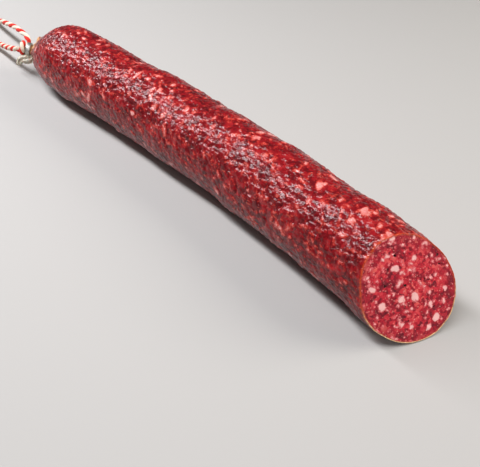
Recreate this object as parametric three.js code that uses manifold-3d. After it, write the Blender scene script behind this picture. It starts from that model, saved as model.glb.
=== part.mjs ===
// A dry-cured sausage lying on its side. One end is gathered, clipped and hung on a loop of twine,
// and the other end is cut off on a slant. Millimetres, +X from the tied end to the cut, +Z up.
// Along the sausage, x is measured from a point just inside the tied end. The group is moved at the
// end, so that the origin is under the middle of the sausage.

import * as THREE from 'three';
import { mergeVertices } from 'three/addons/utils/BufferGeometryUtils.js';
import Module from 'manifold-3d';

// Body: a filled casing that bows sideways, towards +Y
const casingRadius = 27;
const cutAt = 372;
const bow = 12.5;
const flatDepth = 0.4;

// Slanted cut: which way its face looks
const cutNormal = new THREE.Vector3(0.796, -0.340, 0.501).normalize();
const slantReach = 3.2 * casingRadius;

// Tied end: the body tapers, sags and sways towards its neck
const tipAt = -8.3;
const taperLength = 63.4;
const taperRise = 2.11;
const taperRound = 1.2;
const tipDroop = 9.3;
const tipSway = 6.8;
const swayLength = 175;
const shoulderSwell = 0.039;
const shoulderAt = 32;

// Neck: bent sideways and upwards off the end of the body, with a stub behind the clip
const bendFrom = 2;
const bendLength = 8;
const neckSideways = 0.9;
const neckUpwards = 0.4;
const neckRadius = 7.0;
const clippedRadius = 3.9;
const stubRadius = 1.3;
const stubFrom = -11.33;
const stubEnd = -13.8;

// Pleats that run from the neck into the taper
const pleatCount = 11;
const pleatDepth = 0.1;
const pleatReach = 15;
const pleatTurn = 9;

// Big fold beside the neck, in two parts, and the hump of the shoulder: place along the body, length
// and height in mm, angle round the body and width in radians
const humps = [
  [-4.6, 2.8, 5.6, 1.45, 0.45],
  [-6.4, 1.6, 2.6, 1.6, 0.5],
  [30, 14, 1.8, 1.0, 0.6],
];

// Waves of the stuffed casing: height in mm, wavelength along the body in mm, turns round it, phase
const waves = [
  [0.42, 96, 2, 0.4],
  [0.30, 61, 1, 2.1],
  [0.24, 38, 3, 4.4],
  [0.16, 23, 2, 1.3],
];

// Casing tail: a torn strip that comes out in front of the clip, folds back under it and hangs down
const tailPath = [
  [-7.1, -0.1, 17.7],
  [-5.9, -2.0, 16.4],
  [-4.6, -4.1, 15.3],
  [-5.2, -6.7, 15.4],
  [-7.2, -8.6, 15.9],
  [-8.9, -10.3, 15.4],
  [-10.0, -12.1, 13.9],
  [-10.5, -13.1, 12.4],
  [-10.2, -13.0, 10.9],
];
const tailRootWidth = 2.8;
const tailWidth = 4.0;
const tailTipWidth = 3.0;
const tailFacing = new THREE.Vector3(0.68, -0.52, 0.52);
const tailRootThickness = 0.8;
const tailThickness = 1.5;

// Clip: an aluminium band crimped round the neck
const clipAt = -10.3;
const clipWidth = 4.0;
const clipInnerRadius = 4.2;
const clipOuterRadius = 5.9;
const clipRound = 0.6;
const crimpRadius = 1.3;
const crimpOffset = 6.4;
const crimpAngles = [3.6, 4.0];

// Twine: a loop, and the turn of it that is drawn tight round the stub
const twineRadius = 2.35;
const twineSides = 8;
const twineSteps = 54;
const knotFrom = -11.97;
const knotBore = 1.6;
const knotBoreDepth = 3.0;
const loopRoute = [
  [-18.7, 4.1, 22.8],
  [-23.0, 5.7, 24.1],
  [-29.7, 6.8, 24.9],
  [-38.7, 7.6, 24.7],
  [-48.7, 9.1, 23.7],
  [-58.9, 10.1, 21.9],
  [-70.0, 11.3, 19.5],
  [-82.1, 13.0, 16.6],
  [-95.5, 15.0, 12.7],
  [-108.0, 17.4, 8.6],
  [-120.0, 20.0, 5.1],
  [-132.0, 22.1, 3.0],
  [-143.0, 22.0, 2.42],
  [-151.5, 17.8, 2.4],
  [-156.0, 10.5, 2.4],
  [-156.0, 2.0, 2.4],
  [-151.0, -4.8, 2.4],
  [-142.0, -8.2, 2.4],
  [-129.0, -8.8, 2.4],
  [-115.0, -7.9, 2.42],
  [-101.0, -6.6, 2.8],
  [-88.0, -5.6, 4.0],
  [-75.0, -5.2, 6.2],
  [-62.8, -5.7, 9.1],
  [-49.5, -7.1, 12.4],
  [-37.6, -8.6, 15.5],
  [-27.9, -9.2, 18.3],
  [-21.3, -9.1, 20.3],
  [-16.5, -8.4, 21.6],
];

// The point under the middle of the sausage and its clip, from the tied end
const middle = new THREE.Vector3(187.6, 6.79, 0);

// Fineness of the surfaces
const sides = 48;
const taperStep = 2.6;
const bodyStep = 9.5;
const tailSteps = 16;
const tailSides = 12;

const bodyMaterial = new THREE.MeshStandardMaterial({ color: 0x8c1f22, roughness: 0.35, metalness: 0 });
const clipMaterial = new THREE.MeshStandardMaterial({ color: 0xc9c7c0, roughness: 0.3, metalness: 1 });
const twineMaterial = new THREE.MeshStandardMaterial({ color: 0xd8382c, roughness: 0.85, metalness: 0 });

// Height and sideways place of the body's centre line at x
function centreLine(x) {
  const across = (2 * x) / cutAt - 1;
  const sway = tipSway * Math.max(0, 1 - x / swayLength) ** 2;
  const taper = THREE.MathUtils.clamp((x - tipAt) / taperLength, 0, 1);
  const bent = Math.max(0, (bendFrom - x) / bendLength);
  const turn = bendLength * (bent < 1 ? (bent * bent) / 2 : bent - 0.5);
  const y = bow * (1 - across * across) + sway - neckSideways * turn;
  const z = casingRadius - flatDepth - tipDroop * (1 - taper) ** 1.5 + neckUpwards * turn;
  return new THREE.Vector3(x, y, z);
}

// Three unit vectors at x: along the neck towards the body, across it, and upwards from it. Beyond
// the bend they are the frame's own.
function neckAxes(x) {
  const bent = THREE.MathUtils.clamp((bendFrom - x) / bendLength, 0, 1);
  const along = new THREE.Vector3(1, neckSideways * bent, -neckUpwards * bent).normalize();
  const across = new THREE.Vector3(-along.y, along.x, 0).normalize();
  return { along, across, upwards: new THREE.Vector3().crossVectors(along, across) };
}

// Radius of the filled casing at x, before pleats and waves: a bullet that runs into the neck
function radiusAt(x) {
  const taper = THREE.MathUtils.clamp((x - tipAt) / taperLength, 0, 1);
  const bullet = casingRadius * (1 - (1 - taper) ** taperRise) ** (1 / taperRound);
  const nearClip = THREE.MathUtils.smoothstep(x, clipAt + 1.7, clipAt + 6.2);
  const nearStub = THREE.MathUtils.smoothstep(x, stubFrom - 0.6, stubFrom);
  const gathered = THREE.MathUtils.lerp(clippedRadius, neckRadius, nearClip);
  const neck = THREE.MathUtils.lerp(stubRadius, gathered, nearStub);
  const swell = 1 + shoulderSwell * Math.exp(-(((x - shoulderAt) / casingRadius) ** 2));
  return (bullet ** 4 + neck ** 4) ** 0.25 * swell;
}

// How much the relief of the casing adds to the radius, at x and an angle from +Y towards +Z
function relief(x, angle) {
  const onTaper = THREE.MathUtils.smoothstep(x, tipAt - 6, tipAt + taperLength);
  let height = 0;
  for (const [size, wavelength, turns, phase] of waves) {
    height += size * Math.cos((2 * Math.PI * x) / wavelength + turns * angle + phase);
  }
  const beyondClip = THREE.MathUtils.smoothstep(x, clipAt + 2, clipAt + 6.2);
  const pleating = beyondClip * Math.exp(-Math.max(0, x - tipAt) / pleatReach);
  const pleats = pleatDepth * radiusAt(x) * pleating * Math.cos(pleatCount * angle + x / pleatTurn);
  let raised = 0;
  for (const [at, length, rise, middleAngle, width] of humps) {
    const off = Math.atan2(Math.sin(angle - middleAngle), Math.cos(angle - middleAngle)) / width;
    raised += rise * Math.exp(-(((x - at) / length) ** 2) - off * off);
  }
  return height * onTaper + pleats + raised * beyondClip;
}

// A point of the body's surface, which is flattened where it rests
function skinPoint(x, angle) {
  const radius = radiusAt(x) + relief(x, angle);
  const { across, upwards } = neckAxes(x);
  const point = centreLine(x);
  point.addScaledVector(across, radius * Math.cos(angle)).addScaledVector(upwards, radius * Math.sin(angle));
  point.z = Math.max(0, point.z);
  return point;
}

// How far the slanted cut lies from the middle of the cut, along x, for a point of the last ring
function slantOffset(point) {
  const centre = centreLine(cutAt);
  const across = cutNormal.y * (point.y - centre.y) + cutNormal.z * (point.z - centre.z);
  return -across / cutNormal.x;
}

// Where the body's rings stand: close together on the neck and taper, wider apart along the body
function ringPlaces() {
  const places = [stubEnd, stubFrom - 0.6, stubFrom, clipAt + 1.6, -8.2, -7.4, -6.6, -5.8];
  for (let x = -5; x < tipAt + taperLength; x += x < 8 ? taperStep / 2 : taperStep) places.push(x);
  const from = places[places.length - 1];
  const count = Math.round((cutAt - from) / bodyStep);
  for (let i = 1; i <= count; i += 1) places.push(from + ((cutAt - from) * i) / count);
  return places;
}

// A closed solid from rings of points, each with the same number of points, and a fan over each end
function solidFromRings(rings) {
  const perRing = rings[0].length;
  const positions = rings.flat().flatMap((point) => point.toArray());
  const triangles = [];
  for (let i = 0; i < rings.length - 1; i += 1) {
    for (let j = 0; j < perRing; j += 1) {
      const a = i * perRing + j;
      const b = i * perRing + ((j + 1) % perRing);
      triangles.push(a, a + perRing, b, b, a + perRing, b + perRing);
    }
  }
  const ends = [[rings[0], 0, false], [rings.at(-1), (rings.length - 1) * perRing, true]];
  for (const [ring, first, turned] of ends) {
    const total = ring.reduce((sum, point) => sum.add(point), new THREE.Vector3());
    const middlePoint = total.divideScalar(perRing);
    const hub = positions.length / 3;
    positions.push(...middlePoint.toArray());
    for (let j = 0; j < perRing; j += 1) {
      const next = (j + 1) % perRing;
      triangles.push(hub, first + (turned ? next : j), first + (turned ? j : next));
    }
  }
  const geometry = new THREE.BufferGeometry();
  geometry.setAttribute('position', new THREE.Float32BufferAttribute(positions, 3));
  geometry.setIndex(triangles);
  return geometry;
}

// The filled casing from its stub to the slanted cut. Its rings lean over towards the cut.
function bodySolid() {
  const rings = ringPlaces().map((x) => {
    const lean = THREE.MathUtils.smoothstep(x, cutAt - slantReach, cutAt);
    const ring = [];
    for (let j = 0; j < sides; j += 1) {
      const angle = (2 * Math.PI * j) / sides;
      let point = skinPoint(x, angle);
      for (let round = 0; round < 3; round += 1) point = skinPoint(x + lean * slantOffset(point), angle);
      if (lean === 1) point.x = cutAt + slantOffset(point);
      ring.push(point);
    }
    return ring.reverse();
  });
  return solidFromRings(rings);
}

// The torn strip: an oval section carried along the tail's path, its flat side facing one way
function tailSolid() {
  const path = new THREE.CatmullRomCurve3(tailPath.map((place) => new THREE.Vector3(...place)));
  const rings = [];
  for (let i = 0; i <= tailSteps; i += 1) {
    const along = i / tailSteps;
    const centre = path.getPointAt(along);
    const tangent = path.getTangentAt(along);
    const flat = tailFacing.clone().addScaledVector(tangent, -tailFacing.dot(tangent)).normalize();
    const wide = new THREE.Vector3().crossVectors(tangent, flat);
    const opening = THREE.MathUtils.smoothstep(along, 0.2, 0.5);
    const closing = THREE.MathUtils.smoothstep(along, 0.5, 1);
    const spread = THREE.MathUtils.lerp(tailRootWidth, tailWidth, opening);
    const width = THREE.MathUtils.lerp(spread, tailTipWidth, closing) / 2;
    const thickness = THREE.MathUtils.lerp(tailRootThickness, tailThickness, closing) / 2;
    const ring = [];
    for (let j = 0; j < tailSides; j += 1) {
      const angle = (2 * Math.PI * j) / tailSides;
      const point = centre.clone().addScaledVector(flat, thickness * Math.cos(angle));
      ring.push(point.addScaledVector(wide, width * Math.sin(angle)));
    }
    rings.push(ring.reverse());
  }
  return solidFromRings(rings);
}

const wasm = await Module();
wasm.setup();

// A geometry as a solid that can be joined
function toSolid(geometry) {
  const bare = geometry.clone();
  bare.deleteAttribute('normal');
  bare.deleteAttribute('uv');
  const merged = mergeVertices(bare, 1e-4);
  const mesh = new wasm.Mesh({
    numProp: 3,
    vertProperties: new Float32Array(merged.attributes.position.array),
    triVerts: new Uint32Array(merged.index.array),
  });
  return new wasm.Manifold(mesh);
}

// Several geometries joined into one
function joined(...geometries) {
  const solid = geometries.map(toSolid).reduce((all, next) => all.add(next));
  const { vertProperties, triVerts } = solid.getMesh();
  const geometry = new THREE.BufferGeometry();
  geometry.setAttribute('position', new THREE.Float32BufferAttribute(vertProperties, 3));
  geometry.setIndex(Array.from(triVerts));
  return geometry;
}

// The clip's band, round its own Y axis, with its two crimped ends on the underside
function clipSolid() {
  const half = clipWidth / 2;
  const profile = [];
  const corners = [
    [clipOuterRadius - clipRound, half - clipRound, 0],
    [clipInnerRadius + clipRound, half - clipRound, 1],
    [clipInnerRadius + clipRound, clipRound - half, 2],
    [clipOuterRadius - clipRound, clipRound - half, 3],
  ];
  for (const [radius, height, quarter] of corners) {
    for (let i = 0; i <= 2; i += 1) {
      const angle = (Math.PI / 2) * (quarter + i / 2);
      const outward = clipRound * Math.cos(angle);
      const upward = clipRound * Math.sin(angle);
      profile.push(new THREE.Vector2(radius + outward, height + upward));
    }
  }
  profile.push(profile[0].clone());
  const band = new THREE.LatheGeometry(profile, 40);
  const crimps = crimpAngles.map((angle) => {
    const crimp = new THREE.CylinderGeometry(crimpRadius, crimpRadius * 0.8, clipWidth - 0.6, 12);
    crimp.translate(crimpOffset * Math.sin(angle), 0, crimpOffset * Math.cos(angle));
    return crimp;
  });
  return joined(band, ...crimps);
}

// The tight turn of twine round the stub, closed behind it: a lathed cup with a rounded lobe
function knotSolid() {
  const middleRadius = knotBore + twineRadius;
  const length = 2 * twineRadius;
  const profile = [new THREE.Vector2(0, knotBoreDepth), new THREE.Vector2(knotBore, knotBoreDepth)];
  profile.push(new THREE.Vector2(knotBore, 0.5));
  for (let i = 0; i <= 8; i += 1) {
    const angle = THREE.MathUtils.degToRad(-90 + 22.5 * i);
    const outward = middleRadius + twineRadius * Math.cos(angle);
    profile.push(new THREE.Vector2(outward, twineRadius + twineRadius * Math.sin(angle)));
  }
  profile.push(new THREE.Vector2(0, length));
  return new THREE.LatheGeometry(profile, 32);
}

// The free part of the twine
function loopSolid() {
  const section = new THREE.Shape();
  for (let i = 0; i < twineSides; i += 1) {
    const angle = (2 * Math.PI * i) / twineSides;
    const place = [twineRadius * Math.cos(angle), twineRadius * Math.sin(angle)];
    if (i === 0) section.moveTo(...place);
    else section.lineTo(...place);
  }
  section.closePath();
  const path = new THREE.CatmullRomCurve3(loopRoute.map((place) => new THREE.Vector3(...place)));
  return new THREE.ExtrudeGeometry(section, { steps: twineSteps, extrudePath: path, bevelEnabled: false });
}

const sausage = new THREE.Mesh(joined(bodySolid(), tailSolid()), bodyMaterial);
sausage.name = 'sausage';

const upY = new THREE.Vector3(0, 1, 0);
const clip = new THREE.Mesh(clipSolid(), clipMaterial);
clip.name = 'clip';
clip.position.copy(centreLine(clipAt));
clip.quaternion.setFromUnitVectors(upY, neckAxes(clipAt).along);

const knot = new THREE.Mesh(knotSolid(), twineMaterial);
knot.name = 'twine_knot';
knot.position.copy(centreLine(knotFrom));
knot.quaternion.setFromUnitVectors(upY, neckAxes(knotFrom).along.negate());

const loop = new THREE.Mesh(loopSolid(), twineMaterial);
loop.name = 'twine_loop';

const group = new THREE.Group();
group.add(sausage, clip, knot, loop);
group.position.copy(middle).negate();

export default group;
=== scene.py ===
# %% [markdown]
# A cured sausage on its side
#
# The object is a dry-cured sausage about 38 cm long. One end is drawn in, clipped and hung on a
# loop of twisted twine, and the other end is cut off on a slant. The solids of its four parts are
# already settled, so this lesson makes what the eye sees: the crinkled casing, the cut meat with
# its fat, the clip, a torn strip of casing and the two-coloured twine. Each piece is a surface
# worked out with numpy and lies where its solid lies.

import itertools
import math

import bpy
import numpy as np
from mathutils import Matrix


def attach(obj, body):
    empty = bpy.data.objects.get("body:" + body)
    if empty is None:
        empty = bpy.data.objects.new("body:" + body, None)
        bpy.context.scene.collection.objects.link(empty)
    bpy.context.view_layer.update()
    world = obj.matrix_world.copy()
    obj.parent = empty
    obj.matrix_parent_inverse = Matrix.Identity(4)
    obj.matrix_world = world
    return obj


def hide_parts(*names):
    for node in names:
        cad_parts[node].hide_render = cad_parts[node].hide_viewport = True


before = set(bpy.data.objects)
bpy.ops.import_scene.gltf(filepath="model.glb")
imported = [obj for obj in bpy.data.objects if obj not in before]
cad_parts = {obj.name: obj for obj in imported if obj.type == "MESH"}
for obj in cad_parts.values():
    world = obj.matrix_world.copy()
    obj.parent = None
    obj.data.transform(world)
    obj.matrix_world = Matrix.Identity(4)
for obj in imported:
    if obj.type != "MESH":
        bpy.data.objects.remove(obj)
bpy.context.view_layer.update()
print("solids:", sorted(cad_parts))

# %% [markdown]
# Measures
#
# Everything is worked out in millimetres from a point just inside the tied end, because that is
# how a maker would measure the sausage: so far from the knot, so far round. One function then
# takes the points to metres round the frame's own origin, under the middle of the sausage.

# %% From millimetres along the sausage to the frame
MIDDLE = np.array([187.6, 6.79, 0.0])
MM = 0.001


def place(points):
    """Points in mm from the tied end as metres in the frame: (point - middle) / 1000."""
    return (np.asarray(points, float) - MIDDLE) * MM


def unit(vectors):
    """Each vector divided by its own length."""
    vectors = np.asarray(vectors, float)
    return vectors / np.linalg.norm(vectors, axis=-1, keepdims=True)


def smooth(value, low, high):
    """An S-shaped step, 0 up to low and 1 from high: t * t * (3 - 2 * t) of the share between."""
    share = np.clip((value - low) / (high - low), 0, 1)
    return share * share * (3 - 2 * share)


def mix(start, end, share):
    """Start where the share is 0 and end where it is 1."""
    return start + (end - start) * share


print("the point that all is measured from lies at", place([0, 0, 0]).round(4), "m")

# %% [markdown]
# Camera
#
# The camera stands where the photograph was taken: 43 cm from the middle, looking down at 44
# degrees past the cut towards the tied end. Its place was worked out from the two long edges and
# the oval of the cut. A lens of 45 mm on a 36 mm sensor gives the same perspective, in which the
# cut end looks much larger than the tied one.

# %% Set up the camera
CAMERA_PLACE = (0.2688, -0.2101, 0.2659)
CAMERA_HEADING = math.radians(135.95)
CAMERA_DIP = math.radians(44.37)
CAMERA_ROLL = math.radians(0.22)
LENS_MM = 45.0
SENSOR_MM = 36.0

forward = np.array(
    [
        math.cos(CAMERA_HEADING) * math.cos(CAMERA_DIP),
        math.sin(CAMERA_HEADING) * math.cos(CAMERA_DIP),
        -math.sin(CAMERA_DIP),
    ]
)
level = unit(np.cross(forward, (0, 0, 1)))
downward = np.cross(forward, level)
right = math.cos(CAMERA_ROLL) * level + math.sin(CAMERA_ROLL) * downward
down = -math.sin(CAMERA_ROLL) * level + math.cos(CAMERA_ROLL) * downward

lens = bpy.data.cameras.new("camera")
lens.lens = LENS_MM
lens.sensor_width = SENSOR_MM
lens.clip_start = 0.01
camera = bpy.data.objects.new("camera", lens)
camera.location = CAMERA_PLACE
camera.rotation_euler = Matrix((right, -down, -forward)).transposed().to_euler()
bpy.context.scene.collection.objects.link(camera)
bpy.context.scene.camera = camera
print("camera looks along", forward.round(3))

# %% [markdown]
# A mesh from a grid
#
# Every piece here is a grid of points: rows along the piece, and in each row the same number of
# points once round it. Quads join each row to the next, and a fan of triangles closes the two
# ends, so each piece is a closed shell whose faces point outwards. Numbers that belong to the
# points, such as how deep in a piece of fat a point lies, are stored as named attributes, which
# the materials read later.

# %% Turn a grid of points into a closed piece
def closed_piece(name, grid, paint=None):
    """A mesh from grid[row, place round]: quads between rows and a fan of triangles on each end.
    Places go anticlockwise seen from the end that the rows run to. paint holds the fields of
    numbers that the mesh is to carry, by name."""
    rows, around = grid.shape[:2]
    first_hub = rows * around
    points = np.vstack([grid.reshape(-1, 3), grid[0].mean(0), grid[-1].mean(0)])
    here = np.arange(around)
    after = (here + 1) % around
    start = (np.arange(rows - 1) * around)[:, None]
    quads = np.stack([start + here, start + after, start + around + after, start + around + here], -1)
    last = (rows - 1) * around
    front = np.stack([np.full(around, first_hub), after, here], -1)
    back = np.stack([np.full(around, first_hub + 1), last + here, last + after], -1)
    mesh = bpy.data.meshes.new(name)
    mesh.from_pydata(
        place(points).tolist(), [], quads.reshape(-1, 4).tolist() + front.tolist() + back.tolist()
    )
    mesh.polygons.foreach_set("use_smooth", np.ones(len(mesh.polygons), bool))
    for field, values in (paint or {}).items():
        values = np.broadcast_to(values, (rows, around))
        filled = np.append(values.ravel(), [values[0].mean(), values[-1].mean()])
        attribute = mesh.attributes.new(field, "FLOAT", "POINT")
        attribute.data.foreach_set("value", filled.astype(np.float32))
    piece = bpy.data.objects.new(name, mesh)
    bpy.context.scene.collection.objects.link(piece)
    print(name, "has", 2 * len(quads.reshape(-1, 4)) + 2 * around, "triangles")
    return piece


# %% [markdown]
# The line through the sausage
#
# Filled casing never lies quite straight. This one bows about 12 mm to one side, sways back near
# the tied end and sags there, because less meat holds it up. At the very end the gathered neck,
# pulled by its twine, bends off sideways and upwards by some 45 degrees. All other shapes are
# carried along this one line, so it is a function of the distance x along the sausage, and so are
# the three directions that a ring round it is drawn in.

# %% The body's middle line
CASING_RADIUS = 27.0
CUT_AT = 372.0
BOW = 12.5
FLAT_DEPTH = 0.4
TIP_AT = -8.3
TAPER_LENGTH = 63.4
TIP_DROOP = 9.3
TIP_SWAY = 6.8
SWAY_LENGTH = 175.0
DROOP_POWER = 1.5
BEND_FROM = 2.0
BEND_LENGTH = 8.0
NECK_SIDEWAYS = 0.9
NECK_UPWARDS = 0.4


def centre_line(x):
    """The body's middle at x. Sideways it is a bow, which is 1 - (2x/length - 1)^2 of its depth,
    with a sway that fades out. Its height falls off with the power 1.5 of the way into the tip.
    The neck's bend is a parabola that runs on as a straight line."""
    x = np.asarray(x, float)
    across = 2 * x / CUT_AT - 1
    sway = TIP_SWAY * np.maximum(0, 1 - x / SWAY_LENGTH) ** 2
    taper = np.clip((x - TIP_AT) / TAPER_LENGTH, 0, 1)
    bent = np.maximum(0, (BEND_FROM - x) / BEND_LENGTH)
    turn = BEND_LENGTH * np.where(bent < 1, bent**2 / 2, bent - 0.5)
    y = BOW * (1 - across**2) + sway - NECK_SIDEWAYS * turn
    z = CASING_RADIUS - FLAT_DEPTH - TIP_DROOP * (1 - taper) ** DROOP_POWER + NECK_UPWARDS * turn
    return np.stack([x, y, z], -1)


def neck_axes(x):
    """At x: the direction along the neck towards the body, and two directions across it, sideways
    (to +Y) and up, each at right angles to the others. Beyond the bend they are the frame's own."""
    bent = np.clip((BEND_FROM - np.asarray(x, float)) / BEND_LENGTH, 0, 1)
    along = unit(np.stack([np.ones_like(bent), NECK_SIDEWAYS * bent, -NECK_UPWARDS * bent], -1))
    sideways = unit(np.stack([-along[..., 1], along[..., 0], np.zeros_like(bent)], -1))
    return along, sideways, np.cross(along, sideways)


CLIP_AT = -10.3
print("at the clip the neck points along", neck_axes(CLIP_AT)[0].round(3))

# %% [markdown]
# Twine: the way it runs
#
# The loop is a 30 cm free length of two-ply cotton twine, 4.7 mm thick. It leaves the back of the
# clip, falls to the table in a long slack loop, comes back and is wound one and a third times
# round the gathered casing. A simulation could drop it on the table, but would bend it by chance.
# So its way is given as a list of points with one smooth curve through them. The tight turn
# is a helix, and it joins the loop end to end, so that the whole twine is one closed curve.

# %% The twine's way, from the back of the clip round the loop and to the stub
# Points of the loop's middle line, in mm from the tied end of the meat
LOOP_ROUTE = [
    [-18.7, 4.1, 22.8], [-23.0, 5.7, 24.1], [-29.7, 6.8, 24.9], [-38.7, 7.6, 24.7],
    [-48.7, 9.1, 23.7], [-58.9, 10.1, 21.9], [-70.0, 11.3, 19.5], [-82.1, 13.0, 16.6],
    [-95.5, 15.0, 12.7], [-108.0, 17.4, 8.6], [-120.0, 20.0, 5.1], [-132.0, 22.1, 3.0],
    [-143.0, 22.0, 2.42], [-151.5, 17.8, 2.4], [-156.0, 10.5, 2.4], [-156.0, 2.0, 2.4],
    [-151.0, -4.8, 2.4], [-142.0, -8.2, 2.4], [-129.0, -8.8, 2.4], [-115.0, -7.9, 2.42],
    [-101.0, -6.6, 2.8], [-88.0, -5.6, 4.0], [-75.0, -5.2, 6.2], [-62.8, -5.7, 9.1],
    [-49.5, -7.1, 12.4], [-37.6, -8.6, 15.5], [-27.9, -9.2, 18.3], [-21.3, -9.1, 20.3],
    [-16.5, -8.4, 21.6],
]
TWINE_RADIUS = 2.35
# The tight turn: its angles round the neck, its ways behind the clip's middle, and its radius at
# the core, in the turn and where it lifts off, in mm
TURN_DEGREES = (-122.6, 367.8)
TURN_FROM = 8.6
TURN_TO = 4.4
TURN_DIP = 0.8
TURN_CORE = 2.2
TURN_RADIUS = 3.95
TURN_EXIT = 9.6
TURN_POINTS = 17


def along_neck(back, angle, radius):
    """Points so many mm behind the clip's middle, at an angle round the neck and off its line."""
    along, sideways, up = neck_axes(CLIP_AT)
    across = np.cos(angle)[:, None] * sideways + np.sin(angle)[:, None] * up
    return centre_line(CLIP_AT) - back[:, None] * along + radius[:, None] * across


def turn_route():
    """The tight turn: a helix round the neck, whose radius grows from the core at its start and
    lifts off to the loop at its end, while its way behind the clip gets shorter."""
    share = np.linspace(0, 1, TURN_POINTS)
    angle = np.radians(mix(*TURN_DEGREES, share))
    radius = mix(TURN_CORE, TURN_RADIUS, smooth(share, 0, 0.25))
    radius = mix(radius, TURN_EXIT, smooth(share, 0.74, 1.04))
    back = mix(TURN_FROM, TURN_TO, smooth(share, -0.3, 0.8)) - TURN_DIP * smooth(share, 0.85, 1)
    return along_neck(back, angle, radius)


twine_route = np.vstack([LOOP_ROUTE, turn_route()[1:-1]])
print("the twine's way has", len(twine_route), "points")

# %% [markdown]
# Twine: one smooth curve
#
# A stiff bend eases in and out, so the curve through the points may not have a corner anywhere.
# Blender's own curves could carry a round bevel along it, but the two plies have to turn round
# each other by an amount that is known at each point. So the curve is cut into even steps here,
# and two directions across it are carried along that do not spin of their own accord.

# %% A smooth closed curve through the points
PIECES_BETWEEN = 80
TWINE_STEP = 0.32


def smooth_loop(points, step):
    """A closed curve through the points, then cut into even steps. Between two points it is the
    cubic whose tangents come from the square roots of the gaps beside it, so it never kinks.
    Returns the curve's points and where, in steps, each of the given points lies."""
    gap = np.sqrt(np.linalg.norm(np.roll(points, -1, 0) - points, axis=1))[:, None]
    before, after = np.roll(gap, 1, 0), np.roll(gap, -1, 0)
    last, here = np.roll(points, 1, 0), points
    following, beyond = np.roll(points, -1, 0), np.roll(points, -2, 0)
    rise = (following - here) / gap
    leave = ((here - last) / before - (following - last) / (before + gap) + rise) * gap
    arrive = (rise - (beyond - here) / (gap + after) + (beyond - following) / after) * gap
    t = np.linspace(0, 1, PIECES_BETWEEN, endpoint=False)[None, :, None]
    here, following, leave, arrive = (a[:, None] for a in (here, following, leave, arrive))
    curve = (2 * t**3 - 3 * t**2 + 1) * here + (t**3 - 2 * t**2 + t) * leave
    curve = curve + (3 * t**2 - 2 * t**3) * following + (t**3 - t**2) * arrive
    fine = np.vstack([curve.reshape(-1, 3), curve[0, 0]])
    reach = np.append(0, np.cumsum(np.linalg.norm(np.diff(fine, axis=0), axis=1)))
    count = round(reach[-1] / step)
    even = np.linspace(0, reach[-1], count + 1)
    found = np.stack([np.interp(even, reach, fine[:, axis]) for axis in range(3)], -1)
    return found, reach[::PIECES_BETWEEN] / reach[-1] * count


twine_path, twine_marks = smooth_loop(twine_route, TWINE_STEP)
loop_rows = round(twine_marks[len(LOOP_ROUTE) - 1])

# %% Two directions across the twine
ALMOST_UP = np.array([0.0, 0.3, 1.0])


def steady_axes(path):
    """Two directions across a path that turn with it and never spin round it. They start from a
    direction that is almost upward, and the spin of that start is measured between neighbours,
    added up and taken out again."""
    along = unit(np.gradient(path, axis=0))
    first = unit(ALMOST_UP - (along @ ALMOST_UP)[:, None] * along)
    carried = first[:-1] - np.sum(first[:-1] * along[1:], 1, keepdims=True) * along[1:]
    second = np.cross(along, first)
    spin = np.arctan2(np.sum(carried * second[1:], 1), np.sum(carried * first[1:], 1))
    spin = np.append(0, np.cumsum(spin))[:, None]
    side = np.cos(spin) * first + np.sin(spin) * second
    return side, np.cross(along, side)


twine_side, twine_up = steady_axes(twine_path)
print("at the clip one of them is", twine_side[0].round(3))

# %% [markdown]
# Twine: two strands laid together
#
# The twine is two plies of cotton, one red and one cream, laid round each other to the left. The
# outline of its section is that of two overlapping circles. The section turns once in 19 mm where
# the twine leaves the clip and is stretched, and tightens to once in 11.5 mm on its way back. Each
# ply is itself spun from a few yarns the other way, which shows as fine slanting ridges. A tube
# with this section is closer to the real thing than a round one with painted stripes, because the
# groove between the plies catches a shadow.

# %% How far the plies have turned at each step
LAY_LENGTHS = (19.0, 11.5)

share = np.linspace(0, 1, len(twine_path))
laid = np.append(0, np.cumsum(TWINE_STEP / mix(*LAY_LENGTHS, smooth(share, 0.1, 0.8)))[:-1])
lays = round(laid[-1])
closing = math.atan2(twine_side[-1] @ twine_up[0], twine_side[-1] @ twine_side[0])
twine_lie = -2 * np.pi * laid / laid[-1] * lays
twine_lie = twine_lie - closing * smooth(share, loop_rows / len(share), 1)
print("the plies turn", lays, "times round each other")

# %% Make the loop and its tight turn
PLY_RADIUS = 1.66
PLY_OFFSET = TWINE_RADIUS - PLY_RADIUS
YARN_RIDGES = 9
YARN_DEPTH = 0.045
YARN_SLANT = 4.0
TWINE_AROUND = 48


def twine_piece(name, rows):
    """A stretch of the twine. At angle a from the line through both plies, the section's radius is
    offset * |cos a| + sqrt(ply^2 - (offset * sin a)^2), with small ridges that cross the lay. The
    ply field is 1 in the middle of the red ply and -1 in that of the cream one."""
    a = np.linspace(0, 2 * np.pi, TWINE_AROUND, endpoint=False)[None, :]
    lie = twine_lie[rows, None]
    radius = PLY_OFFSET * np.abs(np.cos(a)) + np.sqrt(PLY_RADIUS**2 - (PLY_OFFSET * np.sin(a)) ** 2)
    own = np.arctan2(np.sin(a) * radius, np.abs(np.cos(a)) * radius - PLY_OFFSET)
    fibre = YARN_RIDGES * own + YARN_SLANT * lie
    radius = radius + YARN_DEPTH * np.cos(fibre)
    turned = (a + lie)[..., None]
    ring = np.cos(turned) * twine_side[rows, None] + np.sin(turned) * twine_up[rows, None]
    grid = twine_path[rows, None] + radius[..., None] * ring
    return closed_piece(name, grid, {"ply": np.cos(a), "fibre": np.sin(fibre)})


twine_loop = twine_piece("twine_loop_cord", np.arange(loop_rows + 1))
twine_turns = twine_piece("twine_turns", np.arange(loop_rows, len(twine_path)))
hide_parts("twine_loop")
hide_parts("twine_knot")

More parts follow.
